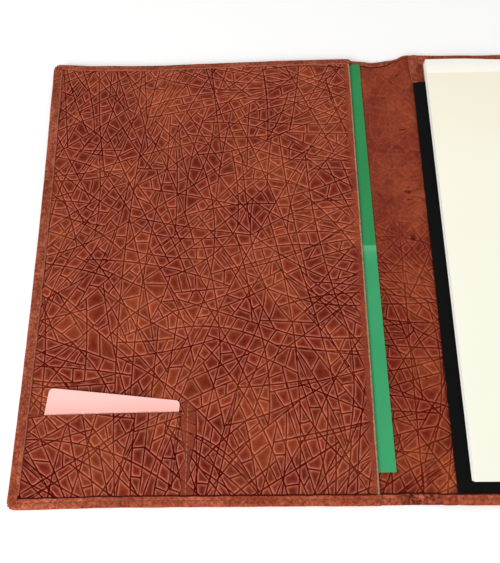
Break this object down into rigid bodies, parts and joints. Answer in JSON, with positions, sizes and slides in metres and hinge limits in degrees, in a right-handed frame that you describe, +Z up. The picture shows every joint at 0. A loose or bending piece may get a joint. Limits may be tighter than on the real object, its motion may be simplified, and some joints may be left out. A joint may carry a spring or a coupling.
{
  "type": "notebook cover",
  "caption": "Open leather writing folder with a document pocket, a card slit, a soft spine with two folds and a writing pad held behind a black panel",
  "frame": {"origin": "middle of the spine, at mid height of the cover, on the surface the open cover lies on", "axes": "+X across the open cover towards the writing pad, +Y along the spine towards the head of the pad, +Z up from the surface"},
  "size_m": [0.511, 0.318, 0.0108],
  "materials": {
    "leather": "embossed and waxed",
    "smooth_leather": "smooth with a fine pebble",
    "board": "raw grey-brown board",
    "thread": "matching twisted thread",
    "tan_thread": "tan twisted thread",
    "card_stock": "smooth pink card",
    "green_paper": "matt coloured paper",
    "black_fabric": "fine black woven lining",
    "pad_paper": "cream writing paper",
    "tape": "white paper binding tape",
    "glue": "dried white padding glue"
  },
  "bodies": {
    "back_cover": {"back_outer_leather": "smooth_leather", "back_stiffener_board": "board", "back_lining_fabric": "black_fabric", "back_lining_strip": "leather", "top_band_leather": "smooth_leather", "pad_pocket_panel": "black_fabric", "back_seam_thread": "thread"},
    "spine": {"spine_outer_leather": "smooth_leather", "spine_lining_leather": "leather", "spine_seam_thread": "thread"},
    "front_cover": {"front_outer_leather": "smooth_leather", "front_stiffener_board": "board", "front_lining_leather": "leather", "document_pocket_panel": "leather", "card_pocket_backing": "smooth_leather", "card_pocket_stitching": "tan_thread", "front_seam_thread": "thread"},
    "writing_pad": {"pad_pages": "pad_paper", "pad_backing_board": "board", "pad_head_glue": "glue", "pad_head_tape": "tape"},
    "card": {"business_card": "card_stock"},
    "document": {"green_document": "green_paper"}
  },
  "joints": [
    {"name": "spine_fold", "type": "hinge", "parent": "back_cover", "child": "spine", "pos_m": [0.0125, 0, 0.0005], "axis": [0, 1, 0], "range_deg": [0, 90]},
    {"name": "front_fold", "type": "hinge", "parent": "spine", "child": "front_cover", "pos_m": [-0.0125, 0, 0.0005], "axis": [0, 1, 0], "range_deg": [0, 90]},
    {"name": "pad_slide", "type": "slide", "parent": "back_cover", "child": "writing_pad", "axis": [0, 1, 0], "range_m": [0, 0.285]},
    {"name": "card_slide", "type": "slide", "parent": "front_cover", "child": "card", "axis": [0.0958, 0.9952, 0.0203], "range_m": [0, 0.05]},
    {"name": "document_slide", "type": "slide", "parent": "front_cover", "child": "document", "axis": [-1, 0, 0], "range_m": [-0.024, 0.017]}
  ]
}
